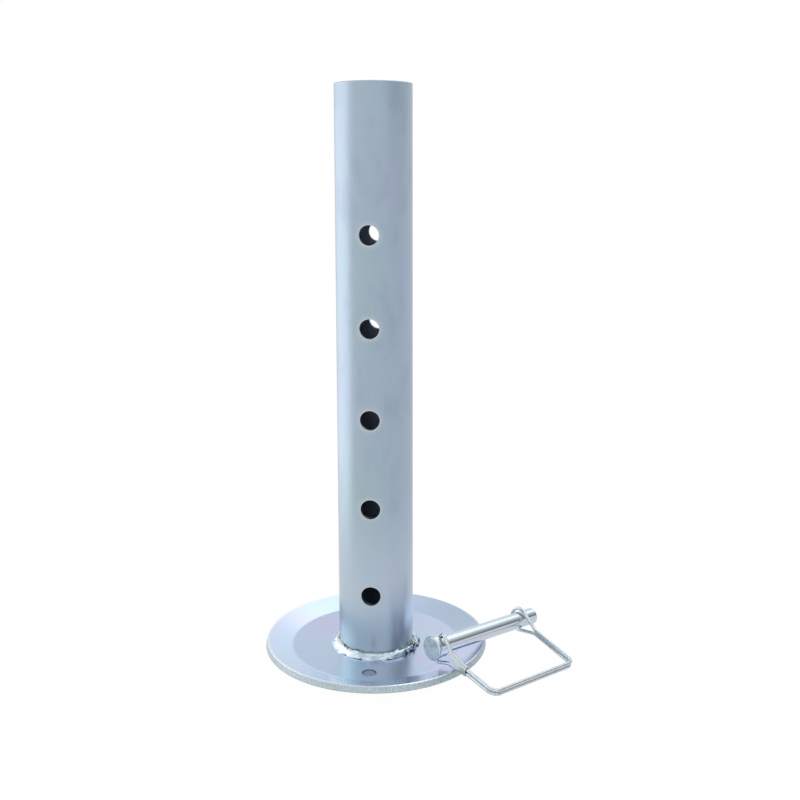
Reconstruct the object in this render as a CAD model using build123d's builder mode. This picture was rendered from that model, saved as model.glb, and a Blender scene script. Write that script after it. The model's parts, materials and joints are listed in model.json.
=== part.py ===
from build123d import *
from math import cos, radians, sin, sqrt, tan
import os

# A drop-leg stand: a round leg tube with cross-drilled height holes, welded upright on a dished
# foot plate, and the lock pin with its spring-wire bail that lies across the plate's rim.
# Millimetres. The origin is on the floor under the middle of the tube, +Z is up, and the
# height holes run along Y.

# Leg tube
tube_d = 50.8
tube_wall = 3.05
tube_length = 379.2
tube_end_break = 0.4
height_hole_d = 13.0
height_hole_pitch = 60.0
height_hole_count = 5
lowest_hole = 48.0

# Foot plate
plate_d = 152.4
plate_t = 4.76
flat_d = 114.8
rim_angle = 17.5
fold_bend = 8.0
plate_edge_round = 0.8
anchor_hole_d = 9.5
anchor_hole_reach = 46.8
anchor_hole_aside = 1.7

# Weld bead
weld_leg = 4.4
weld_crown = 0.5

# Lock pin
pin_d = 11.1
pin_length = 100.0
head_d = 16.0
head_t = 2.8
head_face_round = 1.3
head_back_round = 0.3
collar_d = 14.6
collar_length = 6.7
collar_round = 0.6
neck_fillet = 0.4
tip_chamfer = 1.8
wire_hole_setback = 6.9
wire_hole_clearance = 0.08

# How the pin lies: its heading seen from above, how far inside the rim's edge it passes, and
# the clearances under it
pin_heading = 47.8
pin_inset = 18.9
rim_gap = 0.25
floor_gap = 0.1

# Wire bail: hooks, square and latch loop
wire_d = 2.4
strand_gap = 0.15
hook_depth = 6.0
hook_lift = 0.1
hook_bend = 2.4
hook_drop = 30.0
mouth_spread = 1.5
mouth_bend = 4.0
meeting_bend = 12.0
head_leg_lean = 2.2
bail_width = 76.4
bail_depth = 54.3
bail_corner = 5.5
loop_setback = 13.8
loop_clearance = 0.65
loop_overhang = 0.6
loop_drop = 22.3
loop_crest = 0.15
split_bend = 6.0

# Ferrule crimped round the two strands
ferrule_length = 14.0
ferrule_t = 0.6
ferrule_grip = 0.06
mouth_ease = 0.2

tube_r = tube_d / 2
plate_r = plate_d / 2
flat_r = flat_d / 2
pin_r = pin_d / 2
head_r = head_d / 2
collar_r = collar_d / 2
wire_r = wire_d / 2
height_holes = [lowest_hole + height_hole_pitch * step for step in range(height_hole_count)]

# The rim is the plate turned up by rim_angle, so its cut edge leans inward from the underside up
rim_slope = tan(radians(rim_angle))
rim_edge_r = plate_r - plate_t * sin(radians(rim_angle))
rim_edge_z = plate_t + (rim_edge_r - flat_r) * rim_slope
under_fold_r = flat_r + plate_t * tan(radians(rim_angle / 2))
under_edge_z = (plate_r - under_fold_r) * rim_slope

# Middle of the rounding along the rim's top edge
rim_lean = plate_edge_round * (cos(radians(rim_angle)) - sin(radians(rim_angle)))
rim_sink = plate_edge_round * (cos(radians(rim_angle)) + sin(radians(rim_angle)))
rim_round_r = rim_edge_r - rim_lean
rim_round_z = rim_edge_z - rim_sink


# Leg tube, standing on the plate
with BuildPart() as leg_tube:
    with BuildSketch(Plane.XY.offset(plate_t)):
        Circle(tube_r)
        Circle(tube_r - tube_wall, mode=Mode.SUBTRACT)
    extrude(amount=tube_length)
    chamfer(leg_tube.edges().group_by(Axis.Z)[-1], tube_end_break)
    with BuildSketch(Plane.XZ):
        with Locations([(0, height) for height in height_holes]):
            Circle(height_hole_d / 2)
    extrude(amount=tube_d, both=True, mode=Mode.SUBTRACT)
leg_tube.part.label = "leg_tube"

# Foot plate: a pressed disc, flat inside and turned up at the rim
with BuildPart() as foot_plate:
    with BuildSketch(Plane.XZ):
        with BuildLine():
            FilletPolyline(
                (0, 0),
                (under_fold_r, 0),
                (plate_r, under_edge_z),
                (rim_edge_r, rim_edge_z),
                (flat_r, plate_t),
                (0, plate_t),
                radius=(fold_bend + plate_t, plate_edge_round, plate_edge_round, fold_bend),
            )
            Line((0, plate_t), (0, 0))
        make_face()
    revolve(axis=Axis.Z)
    with Locations((anchor_hole_aside, -anchor_hole_reach, plate_t)):
        Hole(anchor_hole_d / 2)
foot_plate.part.label = "foot_plate"

# Weld bead: a slightly crowned fillet all round the foot of the tube
with BuildPart() as base_weld:
    with BuildSketch(Plane.XZ):
        with BuildLine():
            toe = (tube_r + weld_leg, plate_t)
            top = (tube_r, plate_t + weld_leg)
            middle = weld_leg / 2 + weld_crown * sqrt(0.5)
            Polyline(top, (tube_r, plate_t), toe)
            ThreePointArc(toe, (tube_r + middle, plate_t + middle), top)
        make_face()
    revolve(axis=Axis.Z)
base_weld.part.label = "base_weld"


def corner_rise(bend, drop):
    """How far a fillet between an upright and a line falling at drop starts below their corner."""
    return bend * tan(radians(90 + drop) / 2)


# The strands' heights over the bail's middle plane, and where they meet
strand_rise = (wire_d + strand_gap) / 2
mouth_rise = strand_rise + mouth_spread
hook_top = collar_r + hook_lift + corner_rise(hook_bend, hook_drop)
mouth_out = (hook_top - mouth_rise) / tan(radians(hook_drop))
meeting_out = mouth_out + ferrule_length
loop_bend = pin_r + loop_clearance + wire_r
loop_top = loop_crest + corner_rise(loop_bend, loop_drop)
loop_out = -loop_overhang - loop_bend
split_out = loop_out + (loop_top - strand_rise) / tan(radians(loop_drop))

# Distances along the pin from the bail's hinge
pin_start = -wire_hole_setback
head_end = pin_start + head_t
collar_end = head_end + collar_length
pin_end = pin_length - wire_hole_setback
near_leg = -head_leg_lean
far_leg = bail_width - head_leg_lean
loop_middle = pin_end - loop_setback


def latch_leg(out):
    """Where the leg that ends in the loop is along the pin, at a distance out from it."""
    return loop_middle + (far_leg - loop_middle) * out / bail_depth


def over_rim(start, course):
    """The point of the rim's round that a line crosses on its way out, seen from above."""
    level = course.X**2 + course.Y**2
    toward = start.X * course.X + start.Y * course.Y
    inside = start.X**2 + start.Y**2 - rim_round_r**2
    reach = (sqrt(toward**2 - level * inside) - toward) / level
    return Vector(start.X + reach * course.X, start.Y + reach * course.Y, rim_round_z)


# The loose pin rests on three points: its shank on the rim, the ferrule on the rim, and the
# bail's far corner on the floor. Each turn of the loop tilts it closer to all three.
narrow_half = strand_rise + wire_r + ferrule_grip + ferrule_t
mouth_half = mouth_rise + wire_r + ferrule_grip + mouth_ease + ferrule_t
ferrule_flare = (mouth_half - narrow_half) / ferrule_length
shank_height = pin_r + plate_edge_round + rim_gap
corner_height = strand_rise + wire_r + floor_gap
heading = Vector(cos(radians(pin_heading)), sin(radians(pin_heading)), 0)
beside = Vector(heading.Y, -heading.X, 0)
hinge = beside * (rim_edge_r - pin_inset) + heading * wire_hole_setback
up = Vector(0, 0, 1)
for _ in range(12):
    along = Vector(heading.X, heading.Y, -heading.dot(up) / up.Z).normalized()
    out = along.cross(up)
    corner = hinge + along * (far_leg - bail_corner) + out * bail_depth
    shank_rest = over_rim(hinge, along) + up * shank_height
    rim_point = over_rim(hinge + along * near_leg, out)
    inward = meeting_out - (rim_point - hinge).dot(out)
    ferrule_height = narrow_half + inward * ferrule_flare + plate_edge_round + rim_gap
    ferrule_rest = rim_point + up * ferrule_height
    corner_rest = Vector(corner.X, corner.Y, 0) + up * corner_height
    up = (ferrule_rest - shank_rest).cross(corner_rest - shank_rest).normalized()
    drop = ((hinge.X - shank_rest.X) * up.X + (hinge.Y - shank_rest.Y) * up.Y) / up.Z
    hinge = Vector(hinge.X, hinge.Y, shank_rest.Z - drop)

# Here x is out from the pin across the bail, y is along the pin to its tip, and z is the hinge
bail_plane = Plane(origin=hinge, x_dir=out, z_dir=up)
pin_axis = Axis(hinge, bail_plane.y_dir)

# Lock pin: cold-headed shank with a thick collar behind its head, cross-drilled for the bail's
# hooks
with BuildPart() as lock_pin:
    with BuildSketch(bail_plane):
        with BuildLine():
            FilletPolyline(
                (0, pin_start),
                (head_r, pin_start),
                (head_r, head_end),
                (collar_r, head_end),
                (collar_r, collar_end),
                (pin_r, collar_end),
                (pin_r, pin_end - tip_chamfer),
                (pin_r - tip_chamfer, pin_end),
                (0, pin_end),
                radius=(
                    head_face_round,
                    head_back_round,
                    head_back_round,
                    collar_round,
                    neck_fillet,
                    0,
                    0,
                ),
            )
            Line((0, pin_end), (0, pin_start))
        make_face()
    revolve(axis=pin_axis)
    with BuildSketch(bail_plane):
        Circle(wire_r + wire_hole_clearance)
    extrude(amount=collar_r, both=True, mode=Mode.SUBTRACT)
lock_pin.part.label = "lock_pin"

# Bail: one wire bent double. The upper strand runs from its hook in the pin, round the square and
# over the pin to the loop's crest, and the lower strand is its mirror image.
with BuildPart() as bail_wire:
    with BuildLine(bail_plane) as strand:
        FilletPolyline(
            (0, 0, collar_r - hook_depth),
            (0, 0, hook_top),
            (mouth_out, near_leg, mouth_rise),
            (meeting_out, near_leg, strand_rise),
            (bail_depth, near_leg, strand_rise),
            (bail_depth, far_leg, strand_rise),
            (split_out, latch_leg(split_out), strand_rise),
            (loop_out, latch_leg(loop_out), loop_top),
            (loop_out, latch_leg(loop_out), 0),
            radius=(hook_bend, mouth_bend, meeting_bend, bail_corner, bail_corner, split_bend, loop_bend),
        )
    with BuildSketch(Plane(origin=strand.line @ 0, z_dir=strand.line % 0)):
        Circle(wire_r)
    sweep(path=strand.line)
    mirror(about=bail_plane)
bail_wire.part.label = "bail_wire"


def ferrule_plane(out):
    """A plane square to the leg at the pin's head, at a distance out from the pin."""
    middle = bail_plane.from_local_coords(Vector(out, near_leg, 0))
    return Plane(origin=middle, x_dir=bail_plane.z_dir, z_dir=bail_plane.x_dir)


# Ferrule: a flattened sleeve, wider at the mouth where the strands part
with BuildPart() as bail_ferrule:
    for skin, mode in ((ferrule_t, Mode.ADD), (0, Mode.SUBTRACT)):
        for place, rise, ease in (
            (mouth_out, mouth_rise, mouth_ease),
            (meeting_out, strand_rise, 0),
        ):
            half_width = wire_r + ferrule_grip + ease + skin
            with BuildSketch(ferrule_plane(place)):
                SlotOverall(2 * (rise + half_width), 2 * half_width)
        loft(mode=mode)
bail_ferrule.part.label = "bail_ferrule"

os.makedirs("parts", exist_ok=True)
for piece in (leg_tube, foot_plate, base_weld, lock_pin, bail_wire, bail_ferrule):
    export_step(piece.part, f"parts/{piece.part.label}.step")
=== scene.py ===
import bpy
import json
import math
import random
from mathutils import Matrix, Vector


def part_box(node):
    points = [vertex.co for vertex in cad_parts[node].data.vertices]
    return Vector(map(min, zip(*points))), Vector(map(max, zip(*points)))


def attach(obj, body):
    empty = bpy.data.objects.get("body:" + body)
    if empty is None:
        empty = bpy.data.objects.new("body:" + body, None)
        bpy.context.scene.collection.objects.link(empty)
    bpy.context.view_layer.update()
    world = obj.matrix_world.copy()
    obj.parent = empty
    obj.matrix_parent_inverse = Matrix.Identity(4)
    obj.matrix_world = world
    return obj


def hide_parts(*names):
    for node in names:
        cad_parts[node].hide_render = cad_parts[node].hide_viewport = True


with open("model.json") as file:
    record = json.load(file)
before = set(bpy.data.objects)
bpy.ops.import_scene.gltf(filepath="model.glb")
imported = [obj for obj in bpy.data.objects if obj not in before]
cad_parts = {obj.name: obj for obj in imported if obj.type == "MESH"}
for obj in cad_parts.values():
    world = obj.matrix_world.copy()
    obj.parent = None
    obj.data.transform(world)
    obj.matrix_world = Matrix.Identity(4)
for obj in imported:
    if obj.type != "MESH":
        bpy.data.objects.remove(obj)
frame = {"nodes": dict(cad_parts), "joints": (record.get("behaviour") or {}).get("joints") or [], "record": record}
nodes = frame["nodes"]
joints = {joint["name"]: joint for joint in frame["joints"]}
mounts = {mount["name"]: mount for mount in frame["record"]["mounts"]}
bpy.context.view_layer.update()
print("frame loaded:", ", ".join(sorted(nodes)))


def hexColour(code):
    # sRGB hex to the linear values that shaders take
    channels = [int(code[place:place + 2], 16) / 255 for place in (1, 3, 5)]
    return tuple(c / 12.92 if c <= 0.04045 else ((c + 0.055) / 1.055) ** 2.4 for c in channels) + (1.0,)


def addNode(tree, kind, settings=None, links=None, stops=None):
    # Lower-case names are choices on the node, numbers and capitalised names are its inputs
    node = tree.nodes.new(kind)
    for name, value in (settings or {}).items():
        if isinstance(name, str) and name[0].islower():
            setattr(node, name, value)
        else:
            node.inputs[name].default_value = value
    for name, source in (links or {}).items():
        tree.links.new(source, node.inputs[name])
    if stops:
        marks = node.color_ramp.elements
        marks.remove(marks[1])
        marks[0].position, marks[0].color = stops[0][0], hexColour(stops[0][1])
        for place, code in stops[1:]:
            marks.new(place).color = hexColour(code)
    return node


def newMaterial(name, metallic, roughness):
    material = bpy.data.materials.new(name)
    material.use_nodes = True
    tree = material.node_tree
    shader = tree.nodes["Principled BSDF"]
    shader.inputs["Metallic"].default_value = metallic
    shader.inputs["Roughness"].default_value = roughness
    return material, tree, shader


def wear(node, material):
    piece = nodes[node]
    piece.data.materials.clear()
    piece.data.materials.append(material)


# Camera: 0.7 m in front of the stand, a little to its right and below its top, looking down a little
camera = {
    "place": (0.0944, -0.6789, 0.3274),
    "tilt": 81.4,
    "turn": 6.5,
    "roll": -0.11,
    "lens": 46.9,
    "drop": -0.0875,
    "reach": 50,            # how far it sees
}


def setCamera():
    bpy.ops.object.select_all(action="DESELECT")
    bpy.ops.object.camera_add(
        location=camera["place"],
        rotation=(math.radians(camera["tilt"]), 0, math.radians(camera["turn"])),
    )
    eye = bpy.context.object
    eye.name = "camera"
    eye.rotation_euler.rotate_axis("Z", math.radians(camera["roll"]))
    eye.data.lens = camera["lens"]
    eye.data.shift_y = camera["drop"]
    eye.data.clip_end = camera["reach"]
    bpy.context.scene.camera = eye


setCamera()
print("camera set")

# Studio: a white floor and surround, brightest behind on the left and a dark doorway to the right,
# with one soft lamp overhead at the back. A side's width runs from its border to where it is full, as
# cosines of the angle from its middle, and heights are sines of the angle above the floor.
studio = {
    "white": "#FFFFFF",
    "floorSize": 9.0,
    "floorDrop": -0.0001,
    "floorWhite": "#F6F6F6",
    "floorRoughness": 0.9,
    "floorGlow": 0.98,                  # share of the floor that stays white where the stand shades it
    "underPlate": (0.070, 0.082, 0.5),  # under the foot plate the glow drops to this share
    "tones": [(0.0, "#FBF9F7"), (0.55, "#F1F1F1"), (1.0, "#EFEDF1")],   # left, front and right
    "brightSide": (-0.966, 0.259, 0.0),
    "brightWidth": (0.66, 1.0),
    "brightExtra": 0.7,
    "brightFloor": (0.15, 0.50),        # near the stand the bright side fades from the floor
    "brightFade": (0.45, 0.9),          # and it ends between 27 and 64 degrees up
    "dimSide": (-0.423, 0.906, 0.0),    # the wall behind on the left is dimmer, from 20 to 60 degrees up
    "dimWidth": (0.87, 0.96),
    "dimShare": 0.68,
    "dimBand": [(0.22, "#000000"), (0.5, "#FFFFFF"), (0.8, "#FFFFFF"), (0.93, "#000000")],
    "doorSide": (0.996, 0.087, 0.0),
    "doorWidth": (0.62, 0.92),
    "door": [                           # darkest at its foot
        (0.155, "#FFFFFF"), (0.185, "#76726F"), (0.33, "#97928E"),
        (0.48, "#BEB9B6"), (0.6, "#E4E0DE"), (0.72, "#FFFFFF"),
    ],
    "dome": "#FDFEFF",
    "domeFrom": (0.08, 0.35),           # the dome takes over from the wall between 5 and 20 degrees up
    "domeLevel": 0.98,
    "lamps": {                          # name: place, size across, size up, watts
        "backLamp": ((0.42, 0.72, 1.30), 1.2, 1.2, 2.2),
    },
}


def surround(tree, toward):
    # Tone and level of the studio in each direction round the stand, the same on floor and wall
    flat = addNode(tree, "ShaderNodeVectorMath", {
        "operation": "MULTIPLY", 1: (1.0, 1.0, 0.0),
    }, {0: toward}).outputs[0]
    flat = addNode(tree, "ShaderNodeVectorMath", {"operation": "NORMALIZE"}, {0: flat}).outputs[0]
    across = addNode(tree, "ShaderNodeVectorMath", {
        "operation": "DOT_PRODUCT", 1: (1.0, 0.0, 0.0),
    }, {0: flat}).outputs["Value"]
    across = addNode(tree, "ShaderNodeMapRange", {
        "From Min": -1.0, "From Max": 1.0,
    }, {"Value": across}).outputs[0]
    tone = addNode(tree, "ShaderNodeValToRGB", links={0: across}, stops=studio["tones"]).outputs[0]
    bright = addNode(tree, "ShaderNodeVectorMath", {
        "operation": "DOT_PRODUCT", 1: studio["brightSide"],
    }, {0: flat}).outputs["Value"]
    start, full = studio["brightWidth"]
    level = addNode(tree, "ShaderNodeMapRange", {
        "interpolation_type": "SMOOTHSTEP", "From Min": start, "From Max": full,
        "To Min": 1.0, "To Max": 1.0 + studio["brightExtra"],
    }, {"Value": bright}).outputs[0]
    return flat, tone, level


def setWorld():
    world = bpy.data.worlds.new("studioSurround")
    bpy.context.scene.world = world
    world.use_nodes = True
    tree = world.node_tree
    tree.nodes.clear()
    toward = addNode(tree, "ShaderNodeTexCoord").outputs["Generated"]
    height = addNode(tree, "ShaderNodeSeparateXYZ", links={0: toward}).outputs["Z"]
    flat, tone, level = surround(tree, toward)
    # The dome over the wall
    start, full = studio["domeFrom"]
    above = addNode(tree, "ShaderNodeMapRange", {
        "interpolation_type": "SMOOTHSTEP", "From Min": start, "From Max": full,
    }, {"Value": height}).outputs[0]
    room = addNode(tree, "ShaderNodeMix", {
        "data_type": "RGBA", 7: hexColour(studio["dome"]),
    }, {0: above, 6: tone}).outputs[2]
    # The bright side ends partway up
    start, full = studio["brightFade"]
    higher = addNode(tree, "ShaderNodeMapRange", {
        "interpolation_type": "SMOOTHSTEP", "From Min": start, "From Max": full,
    }, {"Value": height}).outputs[0]
    level = addNode(tree, "ShaderNodeMix", {
        "data_type": "FLOAT", 3: studio["domeLevel"],
    }, {0: higher, 2: level}).outputs[0]
    # The dimmer wall
    dim = addNode(tree, "ShaderNodeVectorMath", {
        "operation": "DOT_PRODUCT", 1: studio["dimSide"],
    }, {0: flat}).outputs["Value"]
    start, full = studio["dimWidth"]
    dim = addNode(tree, "ShaderNodeMapRange", {
        "interpolation_type": "SMOOTHSTEP", "From Min": start, "From Max": full,
        "To Min": 1.0, "To Max": studio["dimShare"],
    }, {"Value": dim}).outputs[0]
    band = addNode(tree, "ShaderNodeValToRGB", links={0: height}, stops=studio["dimBand"]).outputs[0]
    dim = addNode(tree, "ShaderNodeMix", {"data_type": "FLOAT", 2: 1.0}, {0: band, 3: dim}).outputs[0]
    level = addNode(tree, "ShaderNodeMath", {"operation": "MULTIPLY"}, {0: level, 1: dim}).outputs[0]
    # The doorway
    door = addNode(tree, "ShaderNodeValToRGB", links={0: height}, stops=studio["door"]).outputs[0]
    beside = addNode(tree, "ShaderNodeVectorMath", {
        "operation": "DOT_PRODUCT", 1: studio["doorSide"],
    }, {0: flat}).outputs["Value"]
    start, full = studio["doorWidth"]
    beside = addNode(tree, "ShaderNodeMapRange", {
        "interpolation_type": "SMOOTHSTEP", "From Min": start, "From Max": full,
    }, {"Value": beside}).outputs[0]
    room = addNode(tree, "ShaderNodeMix", {
        "data_type": "RGBA", "blend_type": "MULTIPLY",
    }, {0: beside, 6: room, 7: door}).outputs[2]
    # Seen directly it is plain white
    seen = addNode(tree, "ShaderNodeLightPath").outputs["Is Camera Ray"]
    shown = addNode(tree, "ShaderNodeMix", {
        "data_type": "RGBA", 7: hexColour(studio["white"]),
    }, {0: seen, 6: room}).outputs[2]
    level = addNode(tree, "ShaderNodeMix", {"data_type": "FLOAT", 3: 1.0}, {0: seen, 2: level}).outputs[0]
    glow = addNode(tree, "ShaderNodeBackground", links={"Color": shown, "Strength": level}).outputs[0]
    addNode(tree, "ShaderNodeOutputWorld", links={"Surface": glow})


def setFloor():
    bpy.ops.object.select_all(action="DESELECT")
    bpy.ops.mesh.primitive_plane_add(size=studio["floorSize"], location=(0, 0, studio["floorDrop"]))
    floor = bpy.context.object
    floor.name = "studioFloor"
    material, tree, shader = newMaterial("whiteSweepFloor", 0.0, studio["floorRoughness"])
    shader.inputs["Base Color"].default_value = hexColour(studio["floorWhite"])
    place = addNode(tree, "ShaderNodeTexCoord").outputs["Object"]
    flat, tone, level = surround(tree, place)
    # Less of the bright side near the stand, and less glow under it
    away = addNode(tree, "ShaderNodeVectorMath", {"operation": "LENGTH"}, {0: place}).outputs["Value"]
    inner, outer = studio["brightFloor"]
    clear = addNode(tree, "ShaderNodeMapRange", {
        "interpolation_type": "SMOOTHSTEP", "From Min": inner, "From Max": outer,
    }, {"Value": away}).outputs[0]
    level = addNode(tree, "ShaderNodeMix", {
        "data_type": "FLOAT", 2: 1.0,
    }, {0: clear, 3: level}).outputs[0]
    inner, outer, share = studio["underPlate"]
    unshaded = addNode(tree, "ShaderNodeMapRange", {
        "From Min": inner, "From Max": outer, "To Min": share, "To Max": 1.0,
    }, {"Value": away}).outputs[0]
    level = addNode(tree, "ShaderNodeMath", {"operation": "MULTIPLY"}, {0: level, 1: unshaded}).outputs[0]
    # Seen directly it is plain white, and mirrors show its tone
    rays = addNode(tree, "ShaderNodeLightPath").outputs
    seen = addNode(tree, "ShaderNodeMath", {"operation": "MAXIMUM"}, {
        0: rays["Is Camera Ray"], 1: rays["Is Transmission Ray"],
    }).outputs[0]
    tone = addNode(tree, "ShaderNodeMix", {
        "data_type": "RGBA", 7: hexColour(studio["white"]),
    }, {0: seen, 6: tone}).outputs[2]
    level = addNode(tree, "ShaderNodeMix", {"data_type": "FLOAT", 3: 1.0}, {0: seen, 2: level}).outputs[0]
    glow = addNode(tree, "ShaderNodeEmission", links={"Color": tone, "Strength": level}).outputs[0]
    seen = addNode(tree, "ShaderNodeMath", {
        "operation": "MAXIMUM",
    }, {0: seen, 1: rays["Is Glossy Ray"]}).outputs[0]
    share = addNode(tree, "ShaderNodeMath", {
        "operation": "MULTIPLY", 1: studio["floorGlow"],
    }, {0: seen}).outputs[0]
    both = addNode(tree, "ShaderNodeMixShader", links={
        0: share, 1: shader.outputs[0], 2: glow,
    }).outputs[0]
    tree.links.new(both, tree.nodes["Material Output"].inputs["Surface"])
    floor.data.materials.append(material)


def setLamps():
    for name, (place, across, tall, watts) in studio["lamps"].items():
        bpy.ops.object.light_add(type="AREA", location=place)
        lamp = bpy.context.object
        lamp.name = name
        lamp.data.shape = "RECTANGLE"
        lamp.data.size, lamp.data.size_y = across, tall
        lamp.data.energy = watts
        aim = -Vector(place)
        lamp.rotation_euler = aim.to_track_quat("-Z", "Y").to_euler()
        lamp.visible_camera = False


bpy.context.scene.view_settings.view_transform = "Standard"
setWorld()
setFloor()
setLamps()
print("studio set")

# Leg tube: blue-bright zinc plate on drawn steel, satin, with soft cloudy patches. Here and below, a
# fade is where it starts, where it is full and, if that isn't all of it, its share there.
legTube = {
    "zinc": "#AABBCB",
    "green": "#A5BDC5",
    "violet": "#B2B9D7",
    "cloudScale": 22.0,
    "cloudDetail": 3.0,
    "cloudShape": (1.0, 1.0, 0.5),      # twice as tall as wide
    "cloudStops": (0.18, 0.52, 0.82),   # green, zinc, violet
    "mottle": "#96A8BA",
    "mottleScale": 62.0,
    "mottleDetail": (4.0, 0.6),         # octaves, and how rough they are
    "mottleFade": (0.46, 0.74, 0.45),
    "foot": "#BCCBDA",
    "footFade": (0.125, 0.045, 0.8),    # heights
    "lowGrey": "#B4C1C5",
    "lowGreyFade": (0.042, 0.018),       # heights too
    # painted highlight round the height holes
    "holeRimHighlight": "#C3CDD3",
    "holeRimHighlightFade": (0.0009, 0.0003),    # out from the hole's edge
    "holeHaloHighlight": "#B6C6CE",
    "holeHaloHighlightFade": (0.0035, 0.0008, 0.7),
    "holesEnd": 0.32,                   # the tube is plain from this height up
    "bore": "#AEBBCB",
    "boreRadius": 0.0238,               # the middle of the tube's wall
    "boreRoughness": 0.42,
    "lineScale": 2400.0,
    "lineShape": (1.0, 1.0, 0.01),
    "grainScale": 900.0,
    "grainShare": 0.5,
    "relief": (0.12, 0.00005),          # strength, and height in metres
    "roughness": 0.30,
    "cloudRoughness": (0.2, 0.8, -0.02, 0.05),      # a fade, and what its two ends add
}


def zincOnTube():
    material, tree, shader = newMaterial("blueZincOnDrawnTube", 1.0, legTube["roughness"])
    place = addNode(tree, "ShaderNodeTexCoord").outputs["Object"]
    # Clouds about 45 mm across, from the plating bath
    longer = addNode(tree, "ShaderNodeMapping", {
        "Scale": legTube["cloudShape"],
    }, {"Vector": place}).outputs[0]
    clouds = addNode(tree, "ShaderNodeTexNoise", {
        "Scale": legTube["cloudScale"], "Detail": legTube["cloudDetail"],
    }, {"Vector": longer}).outputs[0]
    tints = [legTube["green"], legTube["zinc"], legTube["violet"]]
    zinc = addNode(tree, "ShaderNodeValToRGB", links={0: clouds}, stops=[
        (stop, tint) for stop, tint in zip(legTube["cloudStops"], tints)
    ]).outputs[0]
    # Darker mottling 10 to 20 mm across, where the tube drained
    detail, share = legTube["mottleDetail"]
    mottle = addNode(tree, "ShaderNodeTexNoise", {
        "Scale": legTube["mottleScale"], "Detail": detail, "Roughness": share,
    }, {"Vector": longer}).outputs[0]
    start, full, share = legTube["mottleFade"]
    mottle = addNode(tree, "ShaderNodeMapRange", {
        "interpolation_type": "SMOOTHSTEP", "From Min": start, "From Max": full, "To Max": share,
    }, {"Value": mottle}).outputs[0]
    zinc = addNode(tree, "ShaderNodeMix", {
        "data_type": "RGBA", 7: hexColour(legTube["mottle"]),
    }, {0: mottle, 6: zinc}).outputs[2]
    parts = addNode(tree, "ShaderNodeSeparateXYZ", links={0: place}).outputs
    # Paler from 120 mm over the plate down, and palest in the last 40 mm
    start, full, share = legTube["footFade"]
    low = addNode(tree, "ShaderNodeMapRange", {
        "interpolation_type": "SMOOTHSTEP", "From Min": start, "From Max": full, "To Max": share,
    }, {"Value": parts["Z"]}).outputs[0]
    zinc = addNode(tree, "ShaderNodeMix", {
        "data_type": "RGBA", 7: hexColour(legTube["foot"]),
    }, {0: low, 6: zinc}).outputs[2]
    # The last 35 mm over the plate are greyer
    start, full = legTube["lowGreyFade"]
    lowGreyShare = addNode(tree, "ShaderNodeMapRange", {
        "interpolation_type": "SMOOTHSTEP", "From Min": start, "From Max": full,
    }, {"Value": parts["Z"]}).outputs[0]
    zinc = addNode(tree, "ShaderNodeMix", {
        "data_type": "RGBA", 7: hexColour(legTube["lowGrey"]),
    }, {0: lowGreyShare, 6: zinc}).outputs[2]
    # Distance from the nearest height hole, on both walls
    lowest = mounts["height_hole_1"]["pos_m"][2]
    pitch = mounts["height_hole_2"]["pos_m"][2] - lowest
    radius = mounts["height_hole_1"]["dims"]["r_mm"] / 1000
    lifted = addNode(tree, "ShaderNodeMath", {
        "operation": "SUBTRACT", 1: lowest - pitch / 2,
    }, {0: parts["Z"]}).outputs[0]
    rise = addNode(tree, "ShaderNodeMath", {"operation": "MODULO", 1: pitch}, {0: lifted}).outputs[0]
    rise = addNode(tree, "ShaderNodeMath", {"operation": "SUBTRACT", 1: pitch / 2}, {0: rise}).outputs[0]
    flat = addNode(tree, "ShaderNodeCombineXYZ", links={"X": parts["X"], "Y": rise}).outputs[0]
    apart = addNode(tree, "ShaderNodeVectorMath", {"operation": "LENGTH"}, {0: flat}).outputs["Value"]
    drilled = addNode(tree, "ShaderNodeMath", {
        "operation": "LESS_THAN", 1: legTube["holesEnd"],
    }, {0: parts["Z"]}).outputs[0]
    # A painted highlight round each hole, palest on its edge
    start, full, share = legTube["holeHaloHighlightFade"]
    haloHighlight = addNode(tree, "ShaderNodeMapRange", {
        "interpolation_type": "SMOOTHSTEP", "From Min": radius + start, "From Max": radius + full,
        "To Max": share,
    }, {"Value": apart}).outputs[0]
    haloHighlight = addNode(tree, "ShaderNodeMath", {"operation": "MULTIPLY"}, {0: haloHighlight, 1: drilled}).outputs[0]
    colour = addNode(tree, "ShaderNodeMix", {
        "data_type": "RGBA", 7: hexColour(legTube["holeHaloHighlight"]),
    }, {0: haloHighlight, 6: zinc}).outputs[2]
    # Palest on the hole's edge: painted highlight
    start, full = legTube["holeRimHighlightFade"]
    ring = addNode(tree, "ShaderNodeMapRange", {
        "interpolation_type": "SMOOTHSTEP", "From Min": radius + start, "From Max": radius + full,
    }, {"Value": apart}).outputs[0]
    ring = addNode(tree, "ShaderNodeMath", {"operation": "MULTIPLY"}, {0: ring, 1: drilled}).outputs[0]
    colour = addNode(tree, "ShaderNodeMix", {
        "data_type": "RGBA", 7: hexColour(legTube["holeRimHighlight"]),
    }, {0: ring, 6: colour}).outputs[2]
    # The bath hardly plates the inside, so the bore is duller
    level = addNode(tree, "ShaderNodeVectorMath", {
        "operation": "MULTIPLY", 1: (1.0, 1.0, 0.0),
    }, {0: place}).outputs[0]
    radius = addNode(tree, "ShaderNodeVectorMath", {"operation": "LENGTH"}, {0: level}).outputs["Value"]
    inside = addNode(tree, "ShaderNodeMath", {
        "operation": "LESS_THAN", 1: legTube["boreRadius"],
    }, {0: radius}).outputs[0]
    colour = addNode(tree, "ShaderNodeMix", {
        "data_type": "RGBA", 7: hexColour(legTube["bore"]),
    }, {0: inside, 6: colour}).outputs[2]
    tree.links.new(colour, shader.inputs["Base Color"])
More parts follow.
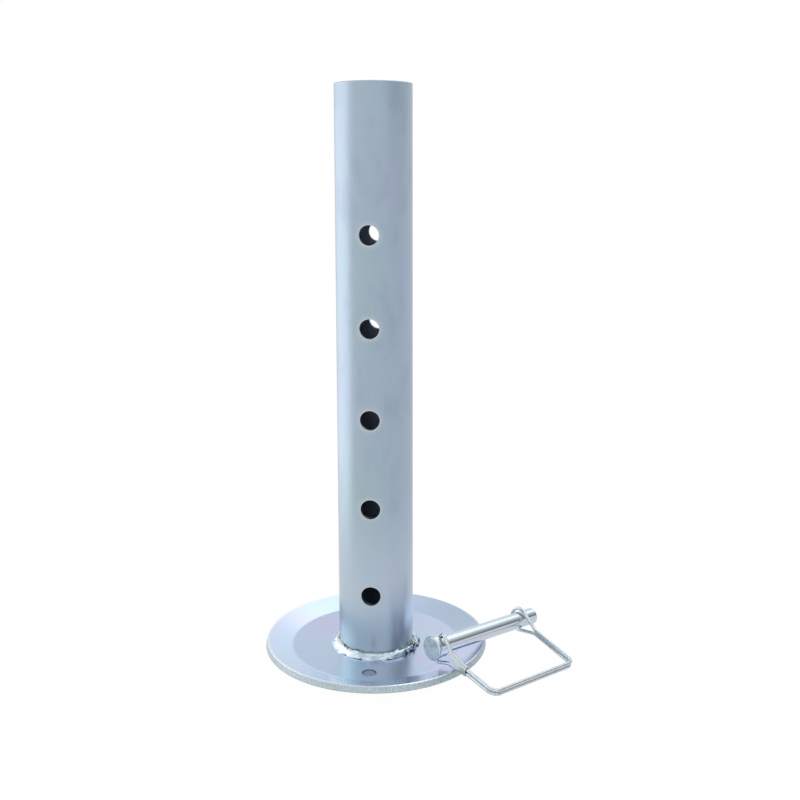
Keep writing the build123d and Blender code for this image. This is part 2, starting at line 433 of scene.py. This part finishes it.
    # Drawing lines 0.4 mm apart along the tube and a satin grain 1 mm across, both coarser than the
    # real ones, which are too fine to show
    lines = addNode(tree, "ShaderNodeMapping", {
        "Scale": legTube["lineShape"],
    }, {"Vector": place}).outputs[0]
    lines = addNode(tree, "ShaderNodeTexNoise", {
        "Scale": legTube["lineScale"], "Detail": 2.0,
    }, {"Vector": lines}).outputs[0]
    grain = addNode(tree, "ShaderNodeTexNoise", {
        "Scale": legTube["grainScale"], "Detail": 2.0,
    }, {"Vector": place}).outputs[0]
    relief = addNode(tree, "ShaderNodeMix", {
        "data_type": "FLOAT", 0: legTube["grainShare"],
    }, {2: lines, 3: grain}).outputs[0]
    strength, height = legTube["relief"]
    bump = addNode(tree, "ShaderNodeBump", {
        "Strength": strength, "Distance": height,
    }, {"Height": relief}).outputs[0]
    tree.links.new(bump, shader.inputs["Normal"])
    start, full, smoother, rougher = legTube["cloudRoughness"]
    rough = addNode(tree, "ShaderNodeMapRange", {
        "interpolation_type": "SMOOTHSTEP", "From Min": start, "From Max": full,
        "To Min": legTube["roughness"] + smoother, "To Max": legTube["roughness"] + rougher,
    }, {"Value": clouds}).outputs[0]
    rough = addNode(tree, "ShaderNodeMix", {
        "data_type": "FLOAT", 3: legTube["boreRoughness"],
    }, {0: inside, 2: rough}).outputs[0]
    tree.links.new(rough, shader.inputs["Roughness"])
    return material


wear("leg_tube", zincOnTube())
print("leg tube finished")

# Foot plate: the same zinc over pressed plate, smoother and bluer, with a sheared edge
footPlate = {
    "zinc": "#CDDDF5",
    "light": "#C8DDF3",
    "lilac": "#D3D6F3",
    "cloudScale": 26.0,
    "cloudDetail": 3.0,
    "cloudStops": (0.34, 0.5, 0.66),    # light, zinc, lilac
    "grainScale": 700.0,
    "edge": "#C6D4DA",
    "edgeDark": "#AABBC2",
    "edgeRadius": 0.0747,
    "edgeFade": (-0.0004, 0.0002),
    "shearScale": 1100.0,
    "shearDetail": (3.0, 0.6),
    "shearShape": (1.0, 1.0, 0.5),
    "shearStops": (0.38, 0.6),          # dark, pale
    "shearRelief": 4.0,                 # times the grain's
    # painted highlight along the top of the cut edge
    "rimHighlight": "#EAF1F4",
    "rimHighlightFade": (-0.0015, 0.0003),
    "rimHighlightBand": [(0.1, "#000000"), (0.4, "#FFFFFF"), (0.75, "#FFFFFF"), (0.95, "#000000")],
    "anchorWall": "#B7C9E6",
    # painted shade inside the anchor hole
    "anchorShade": "#66748A",
    "anchorShadeHeight": (0.0039, 0.0044),     # just under the plate's top
    "wallReach": 0.0001,
    "relief": (0.15, 0.0001),
    "roughness": 0.26,
    "edgeRoughness": 0.40,
}


def zincOnPlate():
    material, tree, shader = newMaterial("blueZincOnPressedPlate", 1.0, footPlate["roughness"])
    place = addNode(tree, "ShaderNodeTexCoord").outputs["Object"]
    # Clouds about 40 mm across
    clouds = addNode(tree, "ShaderNodeTexNoise", {
        "Scale": footPlate["cloudScale"], "Detail": footPlate["cloudDetail"],
    }, {"Vector": place}).outputs[0]
    tints = [footPlate["light"], footPlate["zinc"], footPlate["lilac"]]
    zinc = addNode(tree, "ShaderNodeValToRGB", links={0: clouds}, stops=[
        (stop, tint) for stop, tint in zip(footPlate["cloudStops"], tints)
    ]).outputs[0]
    level = addNode(tree, "ShaderNodeVectorMath", {
        "operation": "MULTIPLY", 1: (1.0, 1.0, 0.0),
    }, {0: place}).outputs[0]
    radius = addNode(tree, "ShaderNodeVectorMath", {"operation": "LENGTH"}, {0: level}).outputs["Value"]
    start, full = footPlate["edgeFade"]
    cut = addNode(tree, "ShaderNodeMapRange", {
        "From Min": footPlate["edgeRadius"] + start, "From Max": footPlate["edgeRadius"] + full,
    }, {"Value": radius}).outputs[0]
    # Shear marks about 1 mm apart up the cut edge, and the tube's grain elsewhere, a little coarser
    grain = addNode(tree, "ShaderNodeTexNoise", {
        "Scale": footPlate["grainScale"], "Detail": 2.0,
    }, {"Vector": place}).outputs[0]
    upright = addNode(tree, "ShaderNodeMapping", {
        "Scale": footPlate["shearShape"],
    }, {"Vector": place}).outputs[0]
    detail, share = footPlate["shearDetail"]
    shear = addNode(tree, "ShaderNodeTexNoise", {
        "Scale": footPlate["shearScale"], "Detail": detail, "Roughness": share,
    }, {"Vector": upright}).outputs[0]
    dark, pale = footPlate["shearStops"]
    edge = addNode(tree, "ShaderNodeValToRGB", links={0: shear}, stops=[
        (dark, footPlate["edgeDark"]), (pale, footPlate["edge"]),
    ]).outputs[0]
    colour = addNode(tree, "ShaderNodeMix", {
        "data_type": "RGBA",
    }, {0: cut, 6: zinc, 7: edge}).outputs[2]
    # A painted highlight along the rounded corner at the top of the edge
    start, full = footPlate["rimHighlightFade"]
    rimHighlight = addNode(tree, "ShaderNodeMapRange", {
        "From Min": footPlate["edgeRadius"] + start, "From Max": footPlate["edgeRadius"] + full,
    }, {"Value": radius}).outputs[0]
    rimHighlight = addNode(
        tree, "ShaderNodeValToRGB", links={0: rimHighlight}, stops=footPlate["rimHighlightBand"],
    ).outputs[0]
    colour = addNode(tree, "ShaderNodeMix", {
        "data_type": "RGBA", 7: hexColour(footPlate["rimHighlight"]),
    }, {0: rimHighlight, 6: colour}).outputs[2]
    # The anchor hole's wall is bluer, and a band of painted shade darkens it just under the plate's top
    x, y = mounts["anchor_hole"]["pos_m"][:2]
    reach = mounts["anchor_hole"]["dims"]["r_mm"] / 1000 + footPlate["wallReach"]
    apart = addNode(tree, "ShaderNodeVectorMath", {
        "operation": "DISTANCE", 1: (x, y, 0.0),
    }, {0: level}).outputs["Value"]
    wall = addNode(tree, "ShaderNodeMath", {"operation": "LESS_THAN", 1: reach}, {0: apart}).outputs[0]
    parts = addNode(tree, "ShaderNodeSeparateXYZ", links={0: place}).outputs
    start, full = footPlate["anchorShadeHeight"]
    wallShade = addNode(tree, "ShaderNodeMapRange", {
        "From Min": start, "From Max": full,
    }, {"Value": parts["Z"]}).outputs[0]
    hole = addNode(tree, "ShaderNodeMix", {
        "data_type": "RGBA", 6: hexColour(footPlate["anchorWall"]), 7: hexColour(footPlate["anchorShade"]),
    }, {0: wallShade}).outputs[2]
    colour = addNode(tree, "ShaderNodeMix", {
        "data_type": "RGBA",
    }, {0: wall, 6: colour, 7: hole}).outputs[2]
    tree.links.new(colour, shader.inputs["Base Color"])
    relief = addNode(tree, "ShaderNodeMath", {"operation": "MULTIPLY"}, {0: shear, 1: cut}).outputs[0]
    relief = addNode(tree, "ShaderNodeMath", {
        "operation": "MULTIPLY_ADD", 1: footPlate["shearRelief"],
    }, {0: relief, 2: grain}).outputs[0]
    strength, height = footPlate["relief"]
    bump = addNode(tree, "ShaderNodeBump", {
        "Strength": strength, "Distance": height,
    }, {"Height": relief}).outputs[0]
    tree.links.new(bump, shader.inputs["Normal"])
    rough = addNode(tree, "ShaderNodeMapRange", {
        "To Min": footPlate["roughness"], "To Max": footPlate["edgeRoughness"],
    }, {"Value": cut}).outputs[0]
    tree.links.new(rough, shader.inputs["Roughness"])
    return material


wear("foot_plate", zincOnPlate())
print("foot plate finished")

# Weld bead: long flat strands laid over each other round the foot of the tube, then plated over, so it
# is bright between grey streaks. "Varies" values are the least and the most of a random share or length.
weldBead = {
    "seed": 12,
    "faceRadius": 0.0274,                   # middle of the bead's sloping face
    "faceHeight": 0.0067,
    "faceSlope": 45.0,
    "coreHalf": 0.0017,                     # a plain ring under the strands, and how far under
    "coreSink": 0.0006,
    "coreFaces": (144, 16),
    "strandFaces": (20, 14),
    "strandStep": 9.0,                      # degrees round the tube
    "strandHalf": (0.0074, 0.0021, 0.0013), # along the seam, across the face, out of it
    "strandLean": 17.0,
    "tailFrom": 0.35,                       # share of the half length where its thin tail starts
    "tailShape": (1.25, 0.62, 0.7),
    "tailMiddle": (0.2, 0, 0),
    "stepVaries": (0.8, 1.15),
    "halfVaries": (0.85, 1.12),
    "leanVaries": (0.5, 1.3),
    "proudVaries": (-0.0001, 0.0002),
    "pileFrom": -166.0,                     # the metal piled up here
    "pileTo": -138.0,
    "pileSize": 1.2,
    "roughFrom": -37.0,                     # and the arc was struck here, which left spatter
    "roughTo": 6.0,
    "lumpStep": 4.5,
    "lumpHalf": (0.0019, 0.0015, 0.0016),
    "lumpStepVaries": (0.3, 1.0),
    "lumpHalfVaries": (0.45, 1.25),
    "lumpLeanVaries": (-90, 90),
    "lumpProudVaries": (-0.0009, 0.0009),
    "voxel": 0.0003,
    "softening": 0.5,
    "feather": (0.0010, 0.55),              # how near plate and tube it spreads, and how steeply
    "zinc": "#D2DFE7",
    "shade": "#9FB6C2",
    "streakScale": 900.0,
    "streakShape": (0.16, 1.0, 1.0),
    "streakStops": (0.40, 0.55),            # shade, zinc
    # painted highlight on the piled metal
    "pileHighlight": "#F2F7F9",
    "pileHighlightFade": (0.72, 0.98, 0.7),          # as shares of the face's radius
    # painted shade in the pits
    "pitShade": "#2E3034",
    "pitScale": 480.0,
    "pitStops": (0.52, 0.47),
    "pitFade": (0.93, 0.96),
    "relief": (0.12, 0.0002),
    "roughness": 0.2,
}


def layStrand(master, turn, half, lean, proud):
    bpy.ops.object.select_all(action="DESELECT")
    master.select_set(True)
    bpy.context.view_layer.objects.active = master
    bpy.ops.object.duplicate()
    strand = bpy.context.object
    strand.scale = half
    strand.rotation_euler = (0, 0, math.radians(90 + lean))
    bpy.ops.object.transform_apply(location=False, rotation=True, scale=True)
    radius, height = weldBead["faceRadius"] + proud, weldBead["faceHeight"] + proud
    angle = math.radians(turn)
    strand.location = (radius * math.cos(angle), radius * math.sin(angle), height)
    strand.rotation_euler = (0, math.radians(weldBead["faceSlope"]), angle)
    bpy.ops.object.transform_apply(location=True, rotation=True, scale=False)
    return strand


def layWeld():
    random.seed(weldBead["seed"])
    bpy.ops.object.select_all(action="DESELECT")
    around, upDown = weldBead["strandFaces"]
    bpy.ops.mesh.primitive_uv_sphere_add(
        segments=around, ring_count=upDown, radius=1.0, rotation=(0, math.radians(90), 0),
    )
    master = bpy.context.object
    bpy.ops.object.transform_apply(location=False, rotation=True, scale=False)
    # Drawn out to a thin tail at one end
    bpy.ops.object.mode_set(mode="EDIT")
    bpy.ops.mesh.select_all(action="DESELECT")
    bpy.ops.object.mode_set(mode="OBJECT")
    for corner in master.data.vertices:
        corner.select = corner.co.x > weldBead["tailFrom"]
    bpy.ops.object.mode_set(mode="EDIT")
    bpy.ops.transform.resize(value=weldBead["tailShape"], center_override=weldBead["tailMiddle"])
    bpy.ops.object.mode_set(mode="OBJECT")
    strands = []
    turn = -180.0
    while turn < 180.0:
        if weldBead["roughFrom"] < turn < weldBead["roughTo"]:
            half = [size * random.uniform(*weldBead["lumpHalfVaries"]) for size in weldBead["lumpHalf"]]
            lean = random.uniform(*weldBead["lumpLeanVaries"])
            proud = random.uniform(*weldBead["lumpProudVaries"])
            strands.append(layStrand(master, turn, half, lean, proud))
            turn += weldBead["lumpStep"] * random.uniform(*weldBead["lumpStepVaries"])
            continue
        piled = weldBead["pileSize"] if weldBead["pileFrom"] < turn < weldBead["pileTo"] else 1.0
        half = [
            size * piled * random.uniform(*weldBead["halfVaries"]) for size in weldBead["strandHalf"]
        ]
        lean = weldBead["strandLean"] * random.uniform(*weldBead["leanVaries"])
        proud = random.uniform(*weldBead["proudVaries"])
        strands.append(layStrand(master, turn, half, lean, proud))
        turn += weldBead["strandStep"] * random.uniform(*weldBead["stepVaries"])
    bpy.ops.object.select_all(action="DESELECT")
    around, across = weldBead["coreFaces"]
    bpy.ops.mesh.primitive_torus_add(
        location=(0, 0, weldBead["faceHeight"] - weldBead["coreSink"]),
        major_segments=around, minor_segments=across,
        major_radius=weldBead["faceRadius"] - weldBead["coreSink"], minor_radius=weldBead["coreHalf"],
    )
    bpy.ops.object.transform_apply(location=True, rotation=False, scale=False)
    bpy.data.objects.remove(master)
    for strand in strands:
        strand.select_set(True)
    bpy.ops.object.join()
    bead = bpy.context.object
    bead.name = "weldBead"
    remesh = bead.modifiers.new("fuse", "REMESH")
    remesh.mode, remesh.voxel_size = "VOXEL", weldBead["voxel"]
    bpy.ops.object.modifier_apply(modifier="fuse")
    smooth = bead.modifiers.new("soften", "SMOOTH")
    smooth.factor, smooth.iterations = weldBead["softening"], 1
    bpy.ops.object.modifier_apply(modifier="soften")
    # The metal wetted out on plate and tube, so its two edges run thin
    foot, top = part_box("leg_tube")
    plateTop, tubeRadius = foot[2], top[0]
    reach, spread = weldBead["feather"]
    for corner in bead.data.vertices:
        radius = math.hypot(corner.co.x, corner.co.y)
        near = reach - max(corner.co.z - plateTop, 0.0)
        if near > 0 and radius > weldBead["faceRadius"]:
            wider = 1.0 + near * spread / radius
            corner.co.x, corner.co.y = corner.co.x * wider, corner.co.y * wider
        near = reach - max(radius - tubeRadius, 0.0)
        if near > 0 and corner.co.z > weldBead["faceHeight"]:
            corner.co.z += near * spread
    bpy.ops.object.shade_smooth()
    return bead


def zincOnWeld():
    material, tree, shader = newMaterial("brightZincOverWeld", 1.0, weldBead["roughness"])
    place = addNode(tree, "ShaderNodeTexCoord").outputs["Object"]
    # Grey streaks 1 mm wide and 7 mm long that slant up the bead as its strands do
    parts = addNode(tree, "ShaderNodeSeparateXYZ", links={0: place}).outputs
    behind = addNode(tree, "ShaderNodeMath", {
        "operation": "MULTIPLY", 1: -1.0,
    }, {0: parts["Y"]}).outputs[0]
    turn = addNode(tree, "ShaderNodeMath", {
        "operation": "ARCTAN2",
    }, {0: parts["X"], 1: behind}).outputs[0]
    along = addNode(tree, "ShaderNodeMath", {
        "operation": "MULTIPLY", 1: weldBead["faceRadius"],
    }, {0: turn}).outputs[0]
    level = addNode(tree, "ShaderNodeVectorMath", {
        "operation": "MULTIPLY", 1: (1.0, 1.0, 0.0),
    }, {0: place}).outputs[0]
    radius = addNode(tree, "ShaderNodeVectorMath", {"operation": "LENGTH"}, {0: level}).outputs["Value"]
    across = addNode(tree, "ShaderNodeMath", {
        "operation": "SUBTRACT",
    }, {0: parts["Z"], 1: radius}).outputs[0]
    face = addNode(tree, "ShaderNodeCombineXYZ", links={"X": along, "Y": across}).outputs[0]
    slant = addNode(tree, "ShaderNodeMapping", {
        "Rotation": (0, 0, math.radians(-weldBead["strandLean"])),
    }, {"Vector": face}).outputs[0]
    slant = addNode(tree, "ShaderNodeVectorMath", {
        "operation": "MULTIPLY", 1: weldBead["streakShape"],
    }, {0: slant}).outputs[0]
    streaks = addNode(tree, "ShaderNodeTexNoise", {
        "Scale": weldBead["streakScale"], "Detail": 2.0,
    }, {"Vector": slant}).outputs[0]
    dark, pale = weldBead["streakStops"]
    colour = addNode(tree, "ShaderNodeValToRGB", links={0: streaks}, stops=[
        (dark, weldBead["shade"]), (pale, weldBead["zinc"]),
    ]).outputs[0]
    # Where the metal piled up it is smooth, with a painted highlight that makes it whiter
    piled = math.radians((weldBead["pileFrom"] + weldBead["pileTo"]) / 2)
    beside = addNode(tree, "ShaderNodeVectorMath", {
        "operation": "DOT_PRODUCT", 1: (math.cos(piled), math.sin(piled), 0.0),
    }, {0: place}).outputs["Value"]
    start, full, share = weldBead["pileHighlightFade"]
    beside = addNode(tree, "ShaderNodeMapRange", {
        "From Min": weldBead["faceRadius"] * start, "From Max": weldBead["faceRadius"] * full,
        "To Max": share,
    }, {"Value": beside}).outputs[0]
    colour = addNode(tree, "ShaderNodeMix", {
        "data_type": "RGBA", 7: hexColour(weldBead["pileHighlight"]),
    }, {0: beside, 6: colour}).outputs[2]
    # Painted shade: dark pits 1 to 2 mm across, on the struck side only
    struck = math.radians((weldBead["roughFrom"] + weldBead["roughTo"]) / 2)
    beside = addNode(tree, "ShaderNodeVectorMath", {
        "operation": "DOT_PRODUCT", 1: (math.cos(struck), math.sin(struck), 0.0),
    }, {0: place}).outputs["Value"]
    start, full = weldBead["pitFade"]
    beside = addNode(tree, "ShaderNodeMapRange", {
        "From Min": weldBead["faceRadius"] * start, "From Max": weldBead["faceRadius"] * full,
    }, {"Value": beside}).outputs[0]
    specks = addNode(tree, "ShaderNodeTexNoise", {
        "Scale": weldBead["pitScale"], "Detail": 2.0,
    }, {"Vector": place}).outputs[0]
    start, full = weldBead["pitStops"]
    pits = addNode(tree, "ShaderNodeMapRange", {
        "From Min": start, "From Max": full,
    }, {"Value": specks}).outputs[0]
    pits = addNode(tree, "ShaderNodeMath", {"operation": "MULTIPLY"}, {0: pits, 1: beside}).outputs[0]
    colour = addNode(tree, "ShaderNodeMix", {
        "data_type": "RGBA", 7: hexColour(weldBead["pitShade"]),
    }, {0: pits, 6: colour}).outputs[2]
    tree.links.new(colour, shader.inputs["Base Color"])
    strength, height = weldBead["relief"]
    bump = addNode(tree, "ShaderNodeBump", {
        "Strength": strength, "Distance": height,
    }, {"Height": streaks}).outputs[0]
    tree.links.new(bump, shader.inputs["Normal"])
    return material


bead = layWeld()
bead.data.materials.append(zincOnWeld())
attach(bead, "stand")
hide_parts("base_weld")
print("weld bead laid:", len(bead.data.polygons), "faces")

# The bail turns on the pin's cross-hole, and the pin lifts away square to its own heading
hinge = Vector(joints["bail_swing"]["pos_m"])
holeUp = -Vector(joints["bail_swing"]["axis"])
lift = Vector(joints["pin_lift"]["axis"])
pinAlong = Vector((-lift.y, lift.x, 0.0))       # from the head to the tip
pinAlong.z = -pinAlong.dot(holeUp) / holeUp.z
pinAlong.normalize()
bailOut = pinAlong.cross(holeUp)                # from the pin across the bail

# Lock pin: bright zinc over a turned shank, with a duller cropped head face
lockPin = {
    "zinc": "#D1DCE4",
    "clouded": "#C0CDD7",
    "grainScale": 1200.0,
    "grainStops": (0.3, 0.6),           # clouded, zinc
    "face": "#BAC6CE",
    "faceStain": "#A3AFB2",
    "faceBack": 0.0069,                 # the head's face is this far behind the hinge
    "faceFade": (0.00025, 0.0001),
    "stainScale": 260.0,
    "stainStops": (0.38, 0.58),         # stain, face
    # painted shade in the cross-hole
    "holeShade": "#2A2E34",
    "holeShadeFade": (0.0018, 0.0015),       # out from the middle of the cross-hole
    "relief": (0.05, 0.00005),
    "roughness": 0.12,
    "faceRoughness": 0.5,
}


def zincOnPin():
    material, tree, shader = newMaterial("brightZincOnTurnedPin", 1.0, lockPin["roughness"])
    place = addNode(tree, "ShaderNodeTexCoord").outputs["Object"]
    # A faint grain 0.8 mm across, coarser than the real one, which is too fine to show
    grain = addNode(tree, "ShaderNodeTexNoise", {
        "Scale": lockPin["grainScale"], "Detail": 2.0,
    }, {"Vector": place}).outputs[0]
    dark, pale = lockPin["grainStops"]
    colour = addNode(tree, "ShaderNodeValToRGB", links={0: grain}, stops=[
        (dark, lockPin["clouded"]), (pale, lockPin["zinc"]),
    ]).outputs[0]
    # The flat of the head was cropped and not turned, so it stays matt, with stains 2 to 4 mm across
    reach = addNode(tree, "ShaderNodeVectorMath", {
        "operation": "DOT_PRODUCT", 1: pinAlong,
    }, {0: place}).outputs["Value"]
    faceAt = hinge.dot(pinAlong) - lockPin["faceBack"]
    start, full = lockPin["faceFade"]
    face = addNode(tree, "ShaderNodeMapRange", {
        "From Min": faceAt + start, "From Max": faceAt + full,
    }, {"Value": reach}).outputs[0]
    stains = addNode(tree, "ShaderNodeTexNoise", {
        "Scale": lockPin["stainScale"], "Detail": 3.0,
    }, {"Vector": place}).outputs[0]
    dark, pale = lockPin["stainStops"]
    cropped = addNode(tree, "ShaderNodeValToRGB", links={0: stains}, stops=[
        (dark, lockPin["faceStain"]), (pale, lockPin["face"]),
    ]).outputs[0]
    colour = addNode(tree, "ShaderNodeMix", {
        "data_type": "RGBA",
    }, {0: face, 6: colour, 7: cropped}).outputs[2]
    # Painted shade in the cross-hole and 0.3 mm round its mouth
    apart = addNode(tree, "ShaderNodeVectorMath", {
        "operation": "SUBTRACT", 1: hinge,
    }, {0: place}).outputs[0]
    apart = addNode(tree, "ShaderNodeVectorMath", {
        "operation": "CROSS_PRODUCT", 1: holeUp,
    }, {0: apart}).outputs[0]
    apart = addNode(tree, "ShaderNodeVectorMath", {"operation": "LENGTH"}, {0: apart}).outputs["Value"]
    start, full = lockPin["holeShadeFade"]
    holeShading = addNode(tree, "ShaderNodeMapRange", {
        "From Min": start, "From Max": full,
    }, {"Value": apart}).outputs[0]
    colour = addNode(tree, "ShaderNodeMix", {
        "data_type": "RGBA", 7: hexColour(lockPin["holeShade"]),
    }, {0: holeShading, 6: colour}).outputs[2]
    tree.links.new(colour, shader.inputs["Base Color"])
    rough = addNode(tree, "ShaderNodeMapRange", {
        "To Min": lockPin["roughness"], "To Max": lockPin["faceRoughness"],
    }, {"Value": face}).outputs[0]
    tree.links.new(rough, shader.inputs["Roughness"])
    strength, height = lockPin["relief"]
    bump = addNode(tree, "ShaderNodeBump", {
        "Strength": strength, "Distance": height,
    }, {"Height": grain}).outputs[0]
    tree.links.new(bump, shader.inputs["Normal"])
    return material


wear("lock_pin", zincOnPin())

# Wire bail and ferrule: bright zinc over spring wire and sheet, the ferrule with a rolled lip where
# the two strands leave it
bail = {
    "wire": "#D0DADF",
    "wireRoughness": 0.14,
    "sheet": "#C4C8C6",
    "sheetRoughness": 0.34,
    "clouded": "#B9C6CC",
    "grainScale": 500.0,
    "grainStops": (0.3, 0.6),           # clouded, then the zinc's own colour
    "relief": (0.08, 0.00005),
    "lipAt": (0.0290, -0.0022),         # out from the hinge, and along the pin
    "lipHalf": (0.00342, 0.00214),      # up, and along the pin
    "lipDepth": 0.0010,
    "lipWall": 0.00072,
    "lipFaces": 40,
    "lipRound": (0.0003, 3, 40),        # width, segments, and the angle past which an edge is rounded
}


def rollLip():
    tall, wide = bail["lipHalf"]
    bpy.ops.object.select_all(action="DESELECT")
    bpy.ops.mesh.primitive_cylinder_add(vertices=bail["lipFaces"], radius=wide, depth=bail["lipDepth"])
    lip = bpy.context.object
    lip.name = "ferruleLip"
    # Stretched to a slot, then hollowed
    for side in (-1, 1):
        bpy.ops.object.mode_set(mode="EDIT")
        bpy.ops.mesh.select_all(action="DESELECT")
        bpy.ops.object.mode_set(mode="OBJECT")
        for corner in lip.data.vertices:
            corner.select = corner.co.x * side > 1e-6
        bpy.ops.object.mode_set(mode="EDIT")
        bpy.ops.transform.translate(value=(side * (tall - wide), 0, 0))
    # Face mode first, or the side faces between the two ends come along
    bpy.ops.mesh.select_mode(type="FACE")
    bpy.ops.mesh.select_all(action="DESELECT")
    bpy.ops.object.mode_set(mode="OBJECT")
    for face in lip.data.polygons:
        face.select = abs(face.normal.z) > 0.9
    bpy.ops.object.mode_set(mode="EDIT")
    bpy.ops.mesh.inset(thickness=bail["lipWall"], use_individual=True)
    bpy.ops.mesh.bridge_edge_loops()
    bpy.ops.mesh.select_all(action="SELECT")
    bpy.ops.mesh.normals_make_consistent(inside=False)
    bpy.ops.object.mode_set(mode="OBJECT")
    bevel = lip.modifiers.new("rolled", "BEVEL")
    bevel.width, bevel.segments, angle = bail["lipRound"]
    bevel.limit_method, bevel.angle_limit = "ANGLE", math.radians(angle)
    bpy.ops.object.modifier_apply(modifier="rolled")
    bpy.ops.object.shade_smooth()
    middle = hinge + bailOut * bail["lipAt"][0] + pinAlong * bail["lipAt"][1]
    turned = Matrix((holeUp, -pinAlong, bailOut)).transposed().to_4x4()
    lip.matrix_world = Matrix.Translation(middle) @ turned
    bpy.ops.object.transform_apply(location=True, rotation=True, scale=True)
    return lip


def zincOnBail(name, code, roughness):
    material, tree, shader = newMaterial(name, 1.0, roughness)
    place = addNode(tree, "ShaderNodeTexCoord").outputs["Object"]
    # A clouded grain about 2 mm across
    grain = addNode(tree, "ShaderNodeTexNoise", {
        "Scale": bail["grainScale"], "Detail": 3.0,
    }, {"Vector": place}).outputs[0]
    dark, pale = bail["grainStops"]
    colour = addNode(tree, "ShaderNodeValToRGB", links={0: grain}, stops=[
        (dark, bail["clouded"]), (pale, code),
    ]).outputs[0]
    tree.links.new(colour, shader.inputs["Base Color"])
    strength, height = bail["relief"]
    bump = addNode(tree, "ShaderNodeBump", {
        "Strength": strength, "Distance": height,
    }, {"Height": grain}).outputs[0]
    tree.links.new(bump, shader.inputs["Normal"])
    return material


wear("bail_wire", zincOnBail("brightZincOnSpringWire", bail["wire"], bail["wireRoughness"]))
sheetZinc = zincOnBail("brightZincOnSheet", bail["sheet"], bail["sheetRoughness"])
wear("bail_ferrule", sheetZinc)
lip = rollLip()
lip.data.materials.append(sheetZinc)
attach(lip, "bail")
print("lock pin and bail finished")
